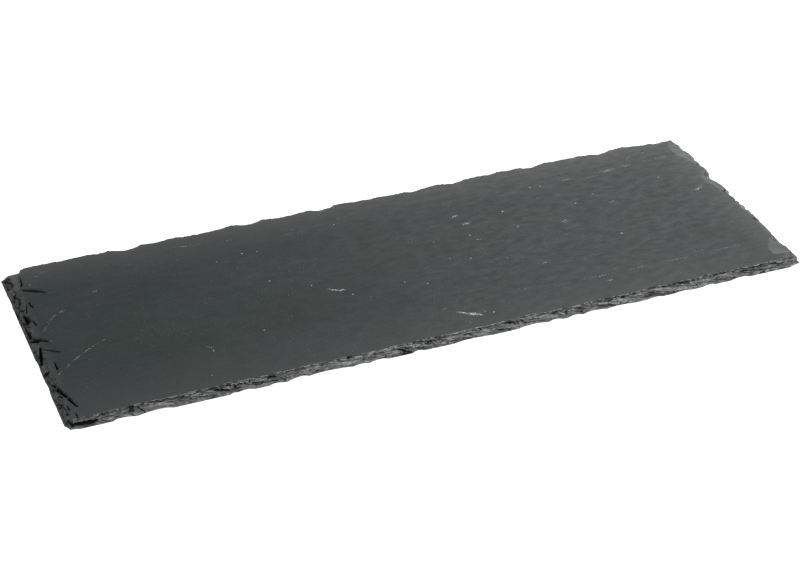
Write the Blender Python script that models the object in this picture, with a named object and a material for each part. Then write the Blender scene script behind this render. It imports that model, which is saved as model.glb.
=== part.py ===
"""A slate serving slab: one plate of stone, split along its leaves and dressed to a rectangle by hammer.

The slab lies on its underside, at z = 0. Its two faces are natural cleavage planes. Its four edges lean
inwards from the underside to the top face, because every blow on the rim throws a flake off the upper arris.
Each blow leaves a scar, and the scars that stand out are listed one by one below.
"""

from collections import namedtuple

import bmesh
import bpy
from mathutils import Vector, noise

MM = 0.001

LENGTH = 402 * MM
WIDTH = 147 * MM
THICKNESS = 4.3 * MM

RING_DEPTHS = (4.0, 3.2, 2.2, 1.3, 0.6, 0.0)  # in millimetres below the top face, from the rim upwards
LOWER_ARRIS = 0.35 * MM  # how far the rim of the underside is worn back
COLUMN_PITCH = {"front": 2.0 * MM, "right": 1.2 * MM, "back": 2.6 * MM, "left": 1.4 * MM}

LEAN = {"front": 3.0 * MM, "right": 3.4 * MM, "back": 3.0 * MM, "left": 3.8 * MM}
LEAN_CURVE = 0.85
LEAN_NOISE, RIM_NOISE = 3.5, 0.5  # the layers of the noise that the lean and the rim are read from
RIPPLE = (9 * MM, 0.5 * MM)  # (length, height) of the lean's change from place to place
RIM_WAVES = ((26 * MM, 0.25 * MM), (5 * MM, 0.2 * MM))  # (length, height) of the rim's wander
RIM_BACK = {"front": 0.15 * MM, "right": 1.0 * MM, "back": 0.75 * MM, "left": 0.15 * MM}

SCAR_FULLNESS = 0.7  # the power that bends a scar's outline: the smaller, the more square its ends
NICK_FULLNESS = 0.98
SCAR_STEEP = 0.5  # a scar's wall is steep down to this share of its depth, and runs out to the rim from there

FAN_LENGTH = 25 * MM  # over this length the columns turn from square-on to the mitre of the corner

SLATE_COLOUR = (0.047, 0.053, 0.055, 1.0)
SLATE_ROUGHNESS = 0.62

# A side runs anticlockwise from its first corner. Places on it are told by x on the two long sides and by y
# on the two short ones, which is the coordinate named last.
Side = namedtuple("Side", "corner along inward length coordinate")
LEFT_X, RIGHT_X, FRONT_Y, BACK_Y = -LENGTH / 2, LENGTH / 2, -WIDTH / 2, WIDTH / 2
SIDES = {
    "front": Side(Vector((LEFT_X, FRONT_Y, 0)), Vector((1, 0, 0)), Vector((0, 1, 0)), LENGTH, 0),
    "right": Side(Vector((RIGHT_X, FRONT_Y, 0)), Vector((0, 1, 0)), Vector((-1, 0, 0)), WIDTH, 1),
    "back": Side(Vector((RIGHT_X, BACK_Y, 0)), Vector((-1, 0, 0)), Vector((0, -1, 0)), LENGTH, 0),
    "left": Side(Vector((LEFT_X, BACK_Y, 0)), Vector((0, -1, 0)), Vector((1, 0, 0)), WIDTH, 1),
}

# Flake scars, in millimetres: the place where the scar reaches furthest in, how far in, how deep below the
# top face, and how far it spreads to the lower and to the higher coordinates.
Blow = namedtuple("Blow", "at reach depth below above")
BLOWS = {
    "front": (
        Blow(-171, 3.7, 4.0, 10, 9),
        Blow(-142, 3.2, 3.0, 9, 5),
        Blow(-121, 3.5, 3.2, 8, 4),
        Blow(-96, 3.4, 3.0, 8, 4),
        Blow(-80, 3.2, 2.4, 7, 5),
        Blow(-55, 3.3, 2.8, 6, 4),
        Blow(-28, 3.8, 3.8, 7, 5),
        Blow(-13, 3.5, 3.6, 8, 4),
        Blow(10, 3.2, 2.2, 10, 8),
        Blow(35, 3.5, 3.6, 8, 6),
        Blow(70, 3.3, 3.0, 7, 5),
        Blow(95, 3.3, 2.2, 8, 8),
        Blow(111, 3.5, 3.4, 6, 5),
        Blow(128, 3.6, 2.4, 7, 4),
        Blow(151, 3.5, 3.2, 7, 5),
        Blow(187, 3.6, 2.8, 10, 4),
    ),
    "right": (
        Blow(-57, 5.0, 1.6, 8, 15),
        Blow(-30, 4.6, 1.8, 8, 6),
        Blow(-12, 4.4, 2.4, 7, 5),
        Blow(4, 4.2, 3.0, 6, 5),
        Blow(22, 4.8, 1.6, 8, 9),
        Blow(38, 4.4, 2.4, 6, 5),
        Blow(54, 4.8, 1.8, 7, 10),
    ),
    "back": (
        Blow(-200, 10.5, 2.4, 1, 10),
        Blow(-133, 4.4, 2.4, 14, 14),
        Blow(-62, 4.2, 2.8, 11, 9),
        Blow(-20, 4.4, 2.4, 12, 9),
        Blow(31, 4.2, 2.6, 12, 10),
        Blow(57, 4.3, 2.8, 9, 9),
        Blow(105, 4.3, 2.4, 10, 8),
        Blow(150, 4.2, 2.6, 10, 9),
        Blow(192, 5.6, 2.0, 9, 9),
    ),
    "left": (
        Blow(72, 10.5, 2.4, 12, 1),
        Blow(59, 8.0, 2.0, 10, 8),
        Blow(45, 4.6, 2.0, 9, 7),
        Blow(31, 4.8, 1.6, 6, 6),
        Blow(21, 4.4, 3.4, 4, 4),
        Blow(-1, 4.8, 2.4, 6, 5),
        Blow(-24, 4.6, 1.7, 7, 6),
        Blow(-45, 4.2, 2.6, 8, 9),
    ),
}

# Nicks through the whole thickness, in millimetres: place, how far in, and the spread to each side of it.
Nick = namedtuple("Nick", "at reach below above")
NICKS = {
    "front": (
        Nick(-201, 1.5, 1, 4.5),
        Nick(-177, 1.3, 3, 9),
        Nick(-155, 1.5, 12, 6),
        Nick(-118, 1.0, 2, 3),
        Nick(-111, 1.4, 6, 3),
        Nick(-96, 1.0, 4, 4),
        Nick(-82, 1.8, 8, 4),
        Nick(-70, 1.5, 12, 14),
        Nick(-52, 0.9, 4, 4),
        Nick(-41.5, 1.3, 6, 4),
        Nick(-21, 1.3, 4, 3),
        Nick(5, 0.9, 7, 14),
        Nick(42, 1.3, 9, 8),
        Nick(54, 1.5, 4, 4),
        Nick(66, 1.3, 5, 3),
        Nick(75, 1.3, 5, 8),
        Nick(91, 0.9, 8, 8),
        Nick(112, 0.9, 5, 4),
        Nick(128, 0.8, 5, 5),
        Nick(144, 1.1, 5, 3),
        Nick(165, 1.3, 9, 3),
        Nick(201, 1.4, 7, 1),
    ),
    "right": (
        Nick(-73.5, 1.8, 1, 5),
        Nick(-55.5, 1.7, 1.5, 8),
        Nick(-48, 0.8, 20, 15),
        Nick(-30, 1.0, 3, 3),
        Nick(-22, 1.0, 2.5, 2.5),
        Nick(-16.5, 1.6, 2.5, 6),
        Nick(-6.5, 1.7, 3, 3),
        Nick(-1, 1.9, 4, 3.5),
        Nick(4, 2.2, 3, 4),
        Nick(11, 1.7, 2.5, 3),
        Nick(20, 2.0, 3, 3),
        Nick(25, 2.3, 5, 7),
        Nick(37.5, 1.7, 2, 4),
        Nick(47, 1.0, 2.5, 4),
        Nick(63.5, 1.6, 7, 7),
        Nick(73.5, 2.2, 6, 1),
    ),
    "back": (
        Nick(-201, 0.8, 1, 8),
        Nick(-171, 0.9, 5, 6),
        Nick(-147, 0.8, 4, 6),
        Nick(-132, 0.9, 13, 9),
        Nick(-116, 1.0, 9, 8),
        Nick(-91, 1.1, 14, 14),
        Nick(-64, 0.7, 6, 9),
        Nick(-43, 0.8, 13, 14),
        Nick(-21, 0.9, 9, 8),
        Nick(3, 0.7, 12, 11),
        Nick(20, 0.8, 8, 6),
        Nick(36, 0.9, 8, 6),
        Nick(56, 0.8, 9, 9),
        Nick(84, 0.9, 4, 5),
        Nick(107, 0.8, 9, 7),
        Nick(127, 0.7, 10, 8),
        Nick(148, 0.8, 9, 11),
        Nick(180, 2.2, 14, 8),
        Nick(190, 2.0, 8, 12),
        Nick(201, 3.6, 8, 1),
    ),
    "left": (
        Nick(73.5, 0.8, 6, 1),
        Nick(48, 0.3, 5, 6),
        Nick(-15, 0.4, 6, 5),
        Nick(-37, 0.3, 4, 6),
        Nick(-73.5, 1.5, 1, 4.5),
    ),
}


def share_across(offset, below, above, fullness):
    """1 in the middle of a scar or a nick, falling to 0 at its two ends."""
    part = offset / (above if offset > 0 else below)
    return max(0.0, 1.0 - part * part) ** fullness


def blow_inset(blow, place, depth):
    """How far in one scar's wall stands at one depth."""
    left_over = min(1.0, max(0.0, (1.0 - depth / blow.depth) / (1.0 - SCAR_STEEP)))
    return blow.reach * left_over * share_across(place - blow.at, blow.below, blow.above, SCAR_FULLNESS)


def nick_inset(nick, place):
    return nick.reach * share_across(place - nick.at, nick.below, nick.above, NICK_FULLNESS)


def wander(point, wave, layer):
    length, height = wave
    return height * noise.noise(Vector((point.x / length, point.y / length, layer)))


def edge_inset(name, point, depth):
    """How far the wall stands in from the nominal rim at one place and at one depth below the top face."""
    place = point[SIDES[name].coordinate] / MM
    rim = RIM_BACK[name] + sum(wander(point, wave, RIM_NOISE) for wave in RIM_WAVES)
    rim += MM * max(nick_inset(nick, place) for nick in NICKS[name])
    rising = max(0.0, 1.0 - depth * MM / THICKNESS) ** LEAN_CURVE
    leaning = (LEAN[name] + wander(point, RIPPLE, LEAN_NOISE + depth)) * rising
    scarred = MM * max(blow_inset(blow, place, depth) for blow in BLOWS[name])
    return rim + max(leaning, scarred)


def outline(depth, height, pulled_in=0.0):
    """One level of the wall: a closed row of points round the slab, anticlockwise from the front left corner."""
    points = []
    for name, side in SIDES.items():
        count = round(side.length / COLUMN_PITCH[name])
        for step in range(count):
            distance = side.length * step / count
            rim_point = side.corner + side.along * distance
            inset = edge_inset(name, rim_point, depth) + pulled_in
            fan = max(0.0, 1.0 - distance / FAN_LENGTH) - max(0.0, 1.0 - (side.length - distance) / FAN_LENGTH)
            point = rim_point + (side.inward + side.along * fan) * inset
            points.append((point.x, point.y, height))
    return points


def slab():
    """The underside is one face, its rim is drawn up level by level, and the last level is filled."""
    mesh = bmesh.new()
    column = mesh.verts.layers.int.new("column")
    for index, point in enumerate(outline(RING_DEPTHS[0], 0.0, LOWER_ARRIS)):
        mesh.verts.new(point)[column] = index
    mesh.faces.new(mesh.verts)
    rim = list(mesh.edges)
    for depth in RING_DEPTHS:
        level = outline(depth, THICKNESS - depth * MM)
        drawn_up = bmesh.ops.extrude_edge_only(mesh, edges=rim)["geom"]
        for vert in drawn_up:
            if isinstance(vert, bmesh.types.BMVert):
                vert.co = level[vert[column]]
        rim = [edge for edge in drawn_up if isinstance(edge, bmesh.types.BMEdge) and edge.is_boundary]
    bmesh.ops.edgenet_fill(mesh, edges=rim)
    bmesh.ops.recalc_face_normals(mesh, faces=mesh.faces)
    mesh.verts.layers.int.remove(column)
    across = [(vert.co.x, vert.co.y) for vert in mesh.verts]
    low_x, low_y, high_x, high_y = *map(min, zip(*across)), *map(max, zip(*across))
    bmesh.ops.translate(mesh, verts=mesh.verts, vec=(-(low_x + high_x) / 2, -(low_y + high_y) / 2, 0))
    data = bpy.data.meshes.new("slate_slab")
    mesh.to_mesh(data)
    mesh.free()
    return data


def slate():
    material = bpy.data.materials.new("slate")
    material.use_nodes = True
    shader = material.node_tree.nodes["Principled BSDF"]
    shader.inputs["Base Color"].default_value = SLATE_COLOUR
    shader.inputs["Roughness"].default_value = SLATE_ROUGHNESS
    shader.inputs["Metallic"].default_value = 0.0
    material.diffuse_color = SLATE_COLOUR
    return material


for old in list(bpy.data.objects):
    bpy.data.objects.remove(old)

slate_slab = bpy.data.objects.new("slate_slab", slab())
slate_slab.data.materials.append(slate())
bpy.context.collection.objects.link(slate_slab)
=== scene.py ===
"""The looks of the slate slab: one split stone with hammer-dressed edges, lying flat on a pale table."""

import math
import random
from collections import namedtuple

import bmesh
import bpy
import numpy as np
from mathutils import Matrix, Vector, noise


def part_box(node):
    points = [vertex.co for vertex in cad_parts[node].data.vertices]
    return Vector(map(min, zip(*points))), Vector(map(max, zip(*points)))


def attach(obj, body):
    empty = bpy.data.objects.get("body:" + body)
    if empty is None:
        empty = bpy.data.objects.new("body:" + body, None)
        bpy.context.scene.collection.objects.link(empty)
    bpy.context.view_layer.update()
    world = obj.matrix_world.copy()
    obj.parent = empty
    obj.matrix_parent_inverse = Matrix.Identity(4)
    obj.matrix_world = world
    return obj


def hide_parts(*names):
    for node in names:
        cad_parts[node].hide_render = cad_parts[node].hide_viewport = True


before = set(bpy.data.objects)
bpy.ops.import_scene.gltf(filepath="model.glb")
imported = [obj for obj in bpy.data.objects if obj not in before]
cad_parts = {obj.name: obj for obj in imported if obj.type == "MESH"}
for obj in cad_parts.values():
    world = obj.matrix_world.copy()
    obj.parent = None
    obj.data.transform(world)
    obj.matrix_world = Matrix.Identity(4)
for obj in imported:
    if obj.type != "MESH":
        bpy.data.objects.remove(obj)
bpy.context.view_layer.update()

MM = 0.001

# ---- driving sizes, in millimetres unless a name says otherwise ----

BOX_LOW, BOX_HIGH = (np.array(corner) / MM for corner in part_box("slate_slab"))
THICKNESS = BOX_HIGH[2] - BOX_LOW[2]
RIM_MARGIN = 1.25  # the sawn-out blank stands this far outside the finished stone all round
RIM_X = (BOX_HIGH[0] - BOX_LOW[0]) / 2 + RIM_MARGIN
RIM_Y = (BOX_HIGH[1] - BOX_LOW[1]) / 2 + RIM_MARGIN

TOP_CELL = 2.0  # grid of the upper face
RIM_CUTS = 3  # the cells near the rim are cut this many times, which sets the pitch of the wall's columns
WALL_PITCH = TOP_CELL / (RIM_CUTS + 1)
WALL_LEVELS = 22
FOOT = WALL_LEVELS - 1  # the wall's lowest level; its upper edge is level 0
LEFT_BAND, RIGHT_BAND = 20.0, 14.0  # how far in from each end the upper face is cut as finely as its rim
ALONG_SHIFT = {"front": 0.7, "back": 0.7, "left": 0.5, "right": 0.5}  # added to the places in the lists below
PULL_REACH = 60.0  # how far inside the rim the upper face's grid still follows the dressed outline
PULL_SOFT = 3.0  # how far inside the rim the outline's fine teeth fade out
PULL_COLUMNS = 15  # so many columns of a wall are averaged to take its fine teeth away
UNDER_CELL = 8.0  # grid of the underside
DOWNWARD = -0.9  # a face whose normal's z is below this is part of the underside
CUT_SNAP = 0.1  # a cut that passes this near to a point, in pitches of the wall, runs through it
ON_RIM = 0.1  # a point nearer to the blank's outline than this is on it

# The dressed wall: how far its top stands in from its foot, and how its foot wanders.
LEAN = {"front": 3.4, "right": 3.4, "back": 3.0, "left": 3.8}
LEAN_CURVE = 0.85  # 1 leans straight, and below 1 the wall is a little hollow
# Waves in the lean, which differ from level to level: (length, height).
RIPPLE = {"front": (9.0, 0.25), "right": (9.0, 0.5), "back": (9.0, 0.4), "left": (6.0, 0.6)}
RIM_WAVES = ((26.0, 0.2), (3.0, 0.12))  # (length, height) of the waves that all levels share
RIM_BACK = {"front": 1.15, "right": 0.55, "back": 0.45, "left": 1.2}  # from the blank's outline to the foot
LOWER_ARRIS = 0.2  # how far the bottom edge is knocked back
MOST_OUT = 0.1  # no point of a wall stands further out than this far inside the blank

# The wall's surface is a patchwork of broken leaf ends: size along and down, how far their rows dip for each
# millimetre along, and how far they stand in and out.
Flake = namedtuple("Flake", "length height dip spread")
FLAKES = {
    "front": (Flake(18.0, 1.2, 0.05, 0.34), Flake(8.0, 0.65, 0.08, 0.22)),
    "right": (Flake(9.0, 1.6, 0.12, 0.50), Flake(3.4, 0.9, 0.16, 0.24)),
    "back": (Flake(12.0, 1.4, -0.09, 0.38), Flake(4.0, 0.8, -0.14, 0.20)),
    "left": (Flake(7.0, 2.2, 0.35, 0.45), Flake(3.0, 1.4, -0.40, 0.15)),
}
FLAKE_TILT = 0.9
FLAKE_WOBBLE = 0.4  # how ragged the borders are, in shares of a flake
FLAKE_WOBBLE_SIZE = 2.5  # the length of that raggedness
FLAKE_CALM = 0.7  # the patchwork dies out over this much above the foot
SEAM = 0.3  # how far down from the border a flake is painted dark, as painted shadow under one that stands out over it
# the strength of that painted shadow
SEAM_DARK = 0.8
LEDGE = 0.3  # how far down from the border a flake is painted pale, as painted highlight on the upward ledge under one that stands back above it
LEDGE_END = 1.5  # where that painted highlight has faded out, in shares of LEDGE
ARRIS_WEAR = [[0.9], [0.2]]  # how worn the wall's upper edge is, and the row of points below it
ARRIS_WAVES = ((6.0, 0.6), (1.8, 0.35))  # (length, height) of the raggedness of the upper edge alone
ARRIS_DEEP = 0.7  # how far below the upper edge its raggedness ends
# How pale and how worn a wall is, at its low end, its middle and its high end. The paleness is partly painted
# light: the left end is kept dark as painted shade, the right end pale partly as painted light.
SIDE_TONE = {
    "front": (0.62, 1.12, 0.96),
    "right": (1.0, 1.0, 1.0),
    "back": (0.8, 0.8, 0.8),
    "left": (0.12, 0.12, 0.12),
}
SIDE_GRAIN = {"front": 0.35, "right": 0.8, "back": 0.8, "left": 0.5}  # how rough it is
BLACK_REACH = 1.0  # a crevice that reaches in as far as this is painted black inside, as painted shade
# The tone that a wall's height adds: shares of the depth, and what is added there.
WALL_TONE = ((0.0, 0.14, 0.32, 0.7, 1.0), (-0.5, -0.3, 0.18, 0.2, 0.12))

# Scars of hammer blows in a wall: place, how far in, how far down from the upper edge, and the spread to each
# side of it.
Blow = namedtuple("Blow", "at reach depth below above")
BLOWS = {
    "front": (
        Blow(-171, 3.7, 4.0, 10, 9),
        Blow(-142, 3.2, 3.0, 9, 5),
        Blow(-121, 3.5, 3.2, 8, 4),
        Blow(-96, 3.4, 3.0, 8, 4),
        Blow(-80, 3.2, 2.4, 7, 5),
        Blow(-55, 3.3, 2.8, 6, 4),
        Blow(-28, 3.8, 3.8, 7, 5),
        Blow(-13, 3.5, 3.6, 8, 4),
        Blow(10, 3.2, 2.2, 10, 8),
        Blow(35, 3.5, 3.6, 8, 6),
        Blow(70, 3.3, 3.0, 7, 5),
        Blow(95, 3.3, 2.2, 8, 8),
        Blow(111, 3.5, 3.4, 6, 5),
        Blow(128, 3.6, 2.4, 7, 4),
        Blow(151, 3.5, 3.2, 7, 5),
        Blow(187, 3.6, 2.8, 10, 4),
    ),
    "right": (
        Blow(-57, 5.0, 1.6, 8, 15),
        Blow(-30, 4.6, 1.8, 8, 6),
        Blow(-12, 4.4, 2.4, 7, 5),
        Blow(4, 4.2, 3.0, 6, 5),
        Blow(22, 4.8, 1.6, 8, 9),
        Blow(38, 4.4, 2.4, 6, 5),
        Blow(54, 4.8, 1.8, 7, 10),
    ),
    "back": (
        Blow(-133, 4.4, 2.4, 14, 14),
        Blow(-62, 4.2, 2.8, 11, 9),
        Blow(-20, 4.4, 2.4, 12, 9),
        Blow(31, 4.2, 2.6, 12, 10),
        Blow(57, 4.3, 2.8, 9, 9),
        Blow(105, 4.3, 2.4, 10, 8),
        Blow(150, 4.2, 2.6, 10, 9),
        Blow(192, 5.6, 2.0, 9, 9),
    ),
    "left": (
        Blow(45, 4.0, 2.0, 9, 7),
        Blow(31, 4.1, 1.6, 6, 6),
        Blow(21, 4.2, 3.4, 4, 4),
        Blow(-1, 4.3, 2.4, 6, 5),
        Blow(-24, 4.0, 1.7, 7, 6),
        Blow(-45, 4.0, 2.6, 8, 9),
    ),
}
SCAR_CURVE = 0.7  # the lower, the squarer a scar is between its two ends

# Small chance chips: one for this much of a side. Then the ranges of their spreads, of what they add to the
# side's lean, of their depths, and of the spread above the place as a share of the one below.
CHIP_EVERY = {"front": 5.0, "right": 6.0, "back": 8.0, "left": 40.0}
CHIP_SPREADS = (0.6, 2.6)
CHIP_REACHES = (-0.3, 0.3)
CHIP_DEPTHS = (0.5, 2.4)
CHIP_LOPSIDED = (0.4, 1.0)

# Nicks through the whole thickness: place, how far in, and the spread to each side of it.
Nick = namedtuple("Nick", "at reach below above")
NICK_TOP = {"front": 0.3, "right": 1.0, "back": 1.0, "left": 0.3}  # the share of it left at the upper edge
NICK_CURVE = 1.4  # the higher, the more pointed a nick is
NICKS = {
    "front": (
        Nick(-202, 1.0, 3, 5),
        Nick(-177, 1.3, 3, 9),
        Nick(-155, 1.5, 12, 6),
        Nick(-118, 1.0, 2, 3),
        Nick(-111, 1.4, 6, 3),
        Nick(-96, 1.0, 4, 4),
        Nick(-82, 1.8, 8, 4),
        Nick(-70, 1.5, 12, 14),
        Nick(-52, 0.9, 4, 4),
        Nick(-41.5, 1.3, 6, 4),
        Nick(-21, 1.3, 4, 3),
        Nick(5, 0.9, 7, 14),
        Nick(42, 1.3, 9, 8),
        Nick(54, 1.5, 4, 4),
        Nick(66, 1.3, 5, 3),
        Nick(75, 1.3, 5, 8),
        Nick(91, 0.9, 8, 8),
        Nick(112, 0.9, 5, 4),
        Nick(128, 0.8, 5, 5),
        Nick(144, 1.1, 5, 3),
        Nick(165, 1.3, 9, 3),
        Nick(201, 1.8, 7, 3),
    ),
    "right": (
        Nick(-73.5, 2.0, 3, 5),
        Nick(-55.5, 1.7, 1.5, 8),
        Nick(-48, 0.8, 20, 15),
        Nick(-30, 1.0, 3, 3),
        Nick(-22, 1.0, 2.5, 2.5),
        Nick(-16.5, 1.6, 2.5, 6),
        Nick(-6.5, 1.7, 3, 3),
        Nick(-1, 1.9, 4, 3.5),
        Nick(4, 2.2, 3, 4),
        Nick(11, 1.7, 2.5, 3),
        Nick(20, 2.0, 3, 3),
        Nick(25, 2.3, 5, 7),
        Nick(37.5, 1.7, 2, 4),
        Nick(47, 0.5, 2.5, 3),
        Nick(55, -0.8, 5, 6),
        Nick(64.5, 1.2, 5, 6),
        Nick(73.5, 2.4, 6, 3),
    ),
    "back": (
        Nick(-202, 2.6, 3, 10),
        Nick(-171, 0.3, 5, 6),
        Nick(-147, 0.8, 4, 6),
        Nick(-132, 0.9, 13, 9),
        Nick(-116, 1.0, 9, 8),
        Nick(-91, 1.1, 14, 14),
        Nick(-64, 0.7, 6, 9),
        Nick(-43, 0.8, 13, 14),
        Nick(-21, 0.9, 9, 8),
        Nick(3, 0.7, 12, 11),
        Nick(20, 0.8, 8, 6),
        Nick(36, 0.9, 8, 6),
        Nick(56, 0.8, 9, 9),
        Nick(84, 0.2, 4, 5),
        Nick(107, 0.8, 9, 7),
        Nick(127, 0.7, 10, 8),
        Nick(148, 0.8, 9, 11),
        Nick(184, 2.1, 18, 16),
        Nick(201, 2.8, 9, 3),
    ),
    "left": (
        Nick(74.5, 3.2, 3.5, 3),
        Nick(48, 0.3, 5, 6),
        Nick(-15, 0.4, 6, 5),
        Nick(-37, 0.3, 4, 6),
        Nick(-74.5, 1.8, 3, 3.5),
    ),
}

# Crevices in a wall, under a leaf that still hangs on: each is a line along the side, as (place, depth)
# points, with how far the hollow reaches in under it and how high it is.
Crevice = namedtuple("Crevice", "line reach height")
CREVICES = {
    "front": (
        Crevice(((-203, 1.5), (-197, 1.5), (-188, 2.1)), 2.4, 1.5),
        Crevice(((-188, 1.9), (-181, 1.8), (-173, 1.2)), 0.9, 0.4),
        Crevice(((-174, 0.2), (-167, 1.2), (-163, 3.8)), 1.4, 0.7),
        Crevice(((-152, 0.9), (-140, 1.1)), 0.9, 0.5),
        Crevice(((-128, 0.9), (-119, 2.4)), 1.4, 0.7),
        Crevice(((-118, 0.7), (-112, 1.3), (-109, 2.3)), 1.2, 0.6),
        Crevice(((-100, 1.2), (-95, 2.0)), 1.0, 0.6),
        Crevice(((-86, 1.0), (-79, 0.8)), 0.9, 0.5),
        Crevice(((-59, 0.2), (-54, 0.9)), 0.9, 0.5),
        Crevice(((-45, 0.5), (-39, 1.6)), 1.0, 0.6),
        Crevice(((-32, 1.5), (-25, 3.8)), 1.3, 0.7),
        Crevice(((-19, 0.3), (-14, 1.5), (-12, 3.0)), 1.2, 0.6),
        Crevice(((-11, 0.7), (-7, 1.6)), 0.9, 0.5),
        Crevice(((2, 0.5), (22, 0.3)), 0.9, 0.4),
        Crevice(((24, 0.5), (36, 1.6), (40, 3.2)), 1.2, 0.6),
        Crevice(((53, 0.5), (58, 0.6)), 0.9, 0.5),
        Crevice(((66, 2.8), (72, 3.3)), 0.9, 0.6),
        Crevice(((87, 0.5), (103, 0.5)), 0.9, 0.4),
        Crevice(((106, 1.2), (112, 2.3)), 1.0, 0.6),
        Crevice(((103, 2.5), (110, 3.3)), 1.0, 0.6),
        Crevice(((122, 0.5), (132, 0.8)), 0.9, 0.5),
        Crevice(((147, 2.2), (154, 3.2)), 1.0, 0.6),
        Crevice(((160, 1.4), (171, 1.7)), 0.9, 0.5),
        Crevice(((174, 2.4), (183, 2.7)), 0.9, 0.5),
        Crevice(((185, 1.1), (190, 1.6)), 1.2, 0.6),
    ),
    "right": (),
    "back": (),
    "left": (
        Crevice(((-60, 2.2), (-72, 3.2)), 1.2, 0.7),
    ),
}
CREVICE_END = 0.6  # how far past its line's ends a crevice runs
CREVICE_CURVE = 4  # the higher, the more suddenly it ends there

# Chance crevices: one for this much of a side. Then the ranges of their depths below the upper face, of their
# lengths, of how far they fall over that length, of their reaches and of their heights.
CREVICE_EVERY = {"front": 7.0, "right": 30.0, "back": 10.0, "left": 25.0}
CREVICE_DEPTHS = (0.3, 3.6)
CREVICE_LENGTHS = (1.5, 7.0)
CREVICE_FALLS = (-0.2, 0.9)
CREVICE_REACHES = (0.3, 0.9)
CREVICE_HEIGHTS = (0.25, 0.5)

# Splits in the upper face: the face drops along a line, on the right hand of someone who walks it from its
# first point to its last, by one amount at its start and another at its end. It comes back up over the
# run-out, or goes on down at the slope. A fresh split is paler.
Split = namedtuple("Split", "line drop run_out slope fresh", defaults=(0.0, 0.0))
SPLITS = (
    # the chip off the far left corner
    Split(((-188.8, 78), (-189.6, 70.6), (-191, 61.4), (-192, 54), (-194.5, 50.5), (-198, 47)),
          (1.8, 1.0), 60, 0.0, 0.3),
    # the low side of the two long fissures
    Split(((-192.5, 49.6), (-186.7, 46.7), (-182.4, 43.4)), (0.35, 0.05), 8),
    Split(((-197, -41), (-194.6, -49.8), (-191.4, -61)), (0.5, 0.2), 10, 0.04),
    # shallow shells beside them, whose floors slope down to the rim
    Split(((-190.5, 44), (-192, 36), (-193, 27)), (0.08, 0.08), 60, 0.07),
    Split(((-190.5, 24), (-191.5, 12), (-192.5, 2)), (0.08, 0.1), 60, 0.06),
    Split(((-189.5, -4), (-189.5, -17), (-192, -30), (-196, -41)), (0.08, 0.06), 60, 0.06),
    # the flakes off the right end, walked from near to far
    Split(((187, -62), (187.2, -57), (193, -48)), (0.15, 0.1), 60, 0.08, 1.0),
    Split(((192.5, -76), (190.5, -70), (192.5, -64.5), (196.5, -60)), (0.15, 0.1), 60, 0.16, 0.9),
    Split(((196.5, -48), (194.8, -40), (195.6, -30), (197.5, -24)), (0.15, 0.1), 60, 0.14, 0.7),
    Split(((196, -22), (194.6, -14), (195.4, -6), (197.2, -2)), (0.15, 0.1), 60, 0.16, 0.5),
    Split(((196, 4), (194.4, 9), (191.6, 17), (191.4, 25), (195.5, 32)), (0.2, 0.1), 60, 0.15, 0.8),
    Split(((196.2, 36), (193.6, 44), (190.2, 51), (190, 60), (192.5, 67), (197, 71)),
          (0.2, 0.1), 60, 0.14, 0.7),
)
SPLIT_END = 2.2  # how far past its ends a split fades out
SPLITS_ADD = 0.35  # where two splits overlap, the shallower one adds this share of its drop
SPLIT_TEETH = ((2.4, 0.22), (0.9, 0.12))  # (size, height) of the raggedness of its line

# Fissures in the upper face: narrow black gaps along a line, with their width at each of its points.
Fissure = namedtuple("Fissure", "line widths")
FISSURES = (
    Fissure(((-198.4, 66.0), (-195.6, 57.8)), (1.0, 0.6)),
    Fissure(((-199.1, 59.4), (-197.9, 55.7)), (0.8, 0.6)),
    Fissure(((-190.9, 62.0), (-191.9, 54.1)), (0.5, 0.9)),
    Fissure(((-192.2, 49.6), (-186.7, 46.7), (-182.2, 43.3)), (0.9, 1.6, 0.5)),
    Fissure(((-196.8, 47.8), (-198.2, 44.5)), (0.6, 0.9)),
    Fissure(((-195.7, 41.9), (-197.0, 36.6)), (0.5, 0.5)),
    Fissure(((-192.3, 37.0), (-191.3, 31.2)), (0.6, 0.6)),
    Fissure(((-193.8, 35.4), (-195.6, 27.8)), (0.4, 0.5)),
    Fissure(((-199.8, 36.0), (-199.1, 30.5)), (0.9, 1.2)),
    Fissure(((-197.2, 27.0), (-195.8, 20.6)), (1.0, 2.2)),
    Fissure(((-199.2, 24.5), (-197.4, 21.0)), (0.6, 1.2)),
    Fissure(((-194.3, 20.6), (-193.4, 15.2)), (0.5, 0.8)),
    Fissure(((-198.7, 18.2), (-198.0, 8.0)), (0.7, 1.2)),
    Fissure(((-200.0, 7.4), (-195.2, 1.8), (-191.5, -1.4)), (1.0, 2.4, 0.9)),
    Fissure(((-196.2, -4.8), (-198.4, -16.0)), (1.1, 1.7)),
    Fissure(((-200.4, -7.5), (-198.0, -10.6)), (0.6, 0.8)),
    Fissure(((-195.6, -6.6), (-192.6, -9.1), (-188.0, -12.7)), (0.1, 0.7, 0.5)),
    Fissure(((-192.6, -19.6), (-192.9, -26.2)), (0.4, 0.9)),
    Fissure(((-200.4, -23.6), (-197.8, -26.4)), (1.0, 1.5)),
    Fissure(((-198.4, -34.6), (-196.9, -38.6)), (0.5, 1.3)),
    Fissure(((-196.6, -41.8), (-194.4, -50.2)), (1.3, 1.5)),
    Fissure(((-193.8, -52.2), (-191.4, -60.8)), (1.3, 0.4)),
    Fissure(((-200.4, -52.2), (-198.8, -55.2)), (0.7, 0.9)),
    Fissure(((-196.2, -57.8), (-195.7, -61.4)), (0.5, 0.7)),
    Fissure(((-198.4, -66.4), (-196.6, -70.8)), (0.6, 1.0)),
    Fissure(((-193.7, -65.4), (-193.4, -68.8)), (0.4, 0.6)),
)
FISSURE_DEEP = 2.0  # how deep a fissure is for each millimetre of its width, up to a limit
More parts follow.
